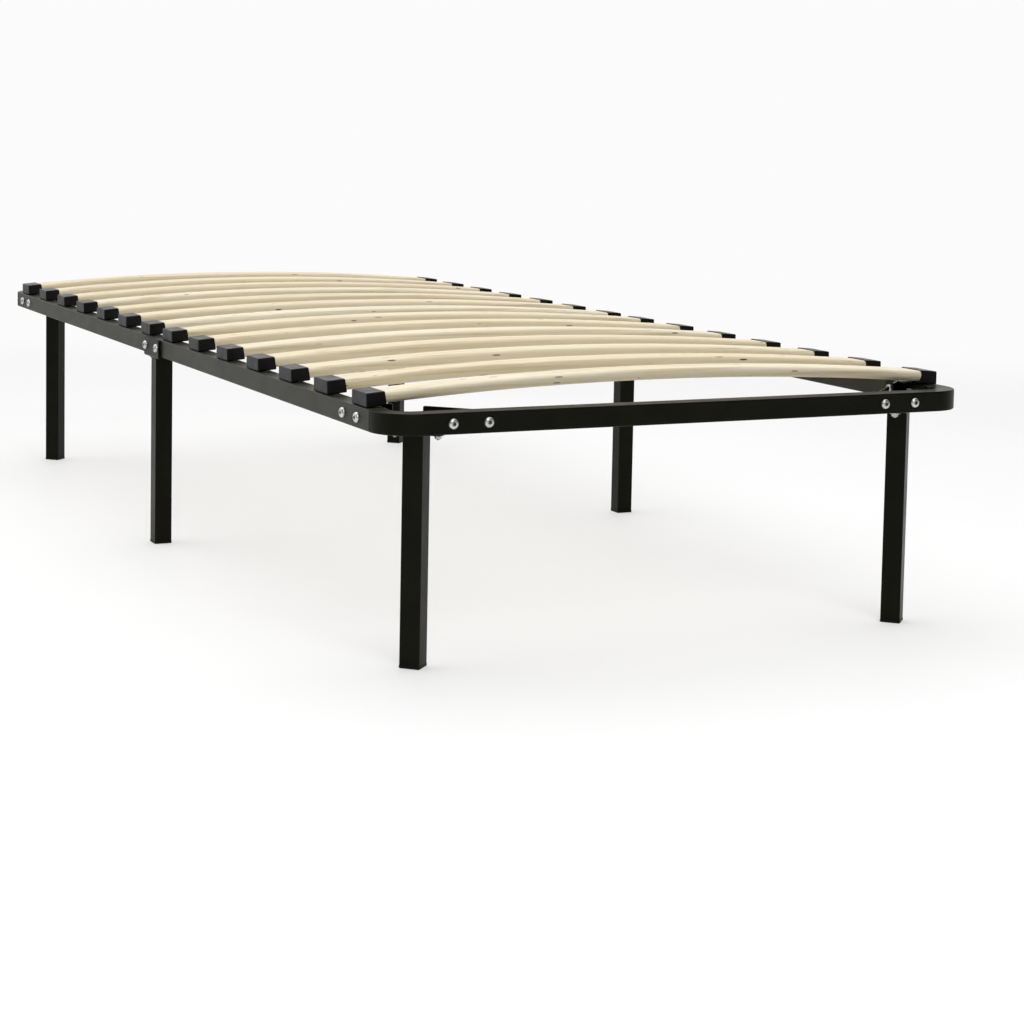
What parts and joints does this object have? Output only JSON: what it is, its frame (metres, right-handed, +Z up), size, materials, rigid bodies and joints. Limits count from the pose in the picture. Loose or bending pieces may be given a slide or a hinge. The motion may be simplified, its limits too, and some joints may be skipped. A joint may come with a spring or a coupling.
{
  "type": "metal bed frame",
  "caption": "Single bed base: bolted black square-tube frame on legs, with bowed wooden slats held in plastic end caps; rests on the floor",
  "frame": {"origin": "on the floor, under the middle of the bed base", "axes": "+X across the bed to its right side seen from the foot end, +Y along the bed from foot end to head end, +Z up"},
  "size_m": [0.9178, 2.0088, 0.3799],
  "materials": {
    "black_powder_coat": "fine-textured satin black powder coat",
    "birch_plywood": "clear satin lacquer on moulded birch plywood",
    "holder_plastic": "moulded black plastic, satin",
    "foot_plastic": "moulded black plastic, matt",
    "zinc_plated_steel": "bright zinc plating"
  },
  "bodies": {
    "frame": {"corner_bracket_foot_left": "black_powder_coat", "corner_bracket_foot_right": "black_powder_coat", "corner_bracket_head_left": "black_powder_coat", "corner_bracket_head_right": "black_powder_coat", "corner_leg_foot_left": "black_powder_coat", "corner_leg_foot_right": "black_powder_coat", "corner_leg_head_left": "black_powder_coat", "corner_leg_head_right": "black_powder_coat", "end_rail_bolts": "zinc_plated_steel", "foot_end_rail": "black_powder_coat", "frame_nuts": "zinc_plated_steel", "head_end_rail": "black_powder_coat", "leg_plate_bolts": "zinc_plated_steel", "leg_plate_nuts": "zinc_plated_steel", "leg_plate_washers": "zinc_plated_steel", "leg_plug_foot_left": "foot_plastic", "leg_plug_foot_right": "foot_plastic", "leg_plug_head_left": "foot_plastic", "leg_plug_head_right": "foot_plastic", "leg_plug_middle_left": "foot_plastic", "leg_plug_middle_right": "foot_plastic", "middle_bolts": "zinc_plated_steel", "middle_bracket_left": "black_powder_coat", "middle_bracket_right": "black_powder_coat", "middle_leg_left": "black_powder_coat", "middle_leg_right": "black_powder_coat", "side_rail_bolts": "zinc_plated_steel", "side_rail_left_foot": "black_powder_coat", "side_rail_left_head": "black_powder_coat", "side_rail_right_foot": "black_powder_coat", "side_rail_right_head": "black_powder_coat"},
    "slat_01_body": {"slat_01": "birch_plywood", "slat_caps_01": "holder_plastic"},
    "slat_02_body": {"slat_02": "birch_plywood", "slat_caps_02": "holder_plastic"},
    "slat_03_body": {"slat_03": "birch_plywood", "slat_caps_03": "holder_plastic"},
    "slat_04_body": {"slat_04": "birch_plywood", "slat_caps_04": "holder_plastic"},
    "slat_05_body": {"slat_05": "birch_plywood", "slat_caps_05": "holder_plastic"},
    "slat_06_body": {"slat_06": "birch_plywood", "slat_caps_06": "holder_plastic"},
    "slat_07_body": {"slat_07": "birch_plywood", "slat_caps_07": "holder_plastic"},
    "slat_08_body": {"slat_08": "birch_plywood", "slat_caps_08": "holder_plastic"},
    "slat_09_body": {"slat_09": "birch_plywood", "slat_caps_09": "holder_plastic"},
    "slat_10_body": {"slat_10": "birch_plywood", "slat_caps_10": "holder_plastic"},
    "slat_11_body": {"slat_11": "birch_plywood", "slat_caps_11": "holder_plastic"},
    "slat_12_body": {"slat_12": "birch_plywood", "slat_caps_12": "holder_plastic"},
    "slat_13_body": {"slat_13": "birch_plywood", "slat_caps_13": "holder_plastic"},
    "slat_14_body": {"slat_14": "birch_plywood", "slat_caps_14": "holder_plastic"}
  },
  "joints": [
    {"name": "slat_01_lift", "type": "slide", "parent": "frame", "child": "slat_01_body", "axis": [0, 0, 1], "range_m": [0, 0.03]},
    {"name": "slat_02_lift", "type": "slide", "parent": "frame", "child": "slat_02_body", "axis": [0, 0, 1], "range_m": [0, 0.03]},
    {"name": "slat_03_lift", "type": "slide", "parent": "frame", "child": "slat_03_body", "axis": [0, 0, 1], "range_m": [0, 0.03]},
    {"name": "slat_04_lift", "type": "slide", "parent": "frame", "child": "slat_04_body", "axis": [0, 0, 1], "range_m": [0, 0.03]},
    {"name": "slat_05_lift", "type": "slide", "parent": "frame", "child": "slat_05_body", "axis": [0, 0, 1], "range_m": [0, 0.03]},
    {"name": "slat_06_lift", "type": "slide", "parent": "frame", "child": "slat_06_body", "axis": [0, 0, 1], "range_m": [0, 0.03]},
    {"name": "slat_07_lift", "type": "slide", "parent": "frame", "child": "slat_07_body", "axis": [0, 0, 1], "range_m": [0, 0.03]},
    {"name": "slat_08_lift", "type": "slide", "parent": "frame", "child": "slat_08_body", "axis": [0, 0, 1], "range_m": [0, 0.03]},
    {"name": "slat_09_lift", "type": "slide", "parent": "frame", "child": "slat_09_body", "axis": [0, 0, 1], "range_m": [0, 0.03]},
    {"name": "slat_10_lift", "type": "slide", "parent": "frame", "child": "slat_10_body", "axis": [0, 0, 1], "range_m": [0, 0.03]},
    {"name": "slat_11_lift", "type": "slide", "parent": "frame", "child": "slat_11_body", "axis": [0, 0, 1], "range_m": [0, 0.03]},
    {"name": "slat_12_lift", "type": "slide", "parent": "frame", "child": "slat_12_body", "axis": [0, 0, 1], "range_m": [0, 0.03]},
    {"name": "slat_13_lift", "type": "slide", "parent": "frame", "child": "slat_13_body", "axis": [0, 0, 1], "range_m": [0, 0.03]},
    {"name": "slat_14_lift", "type": "slide", "parent": "frame", "child": "slat_14_body", "axis": [0, 0, 1], "range_m": [0, 0.03]}
  ]
}
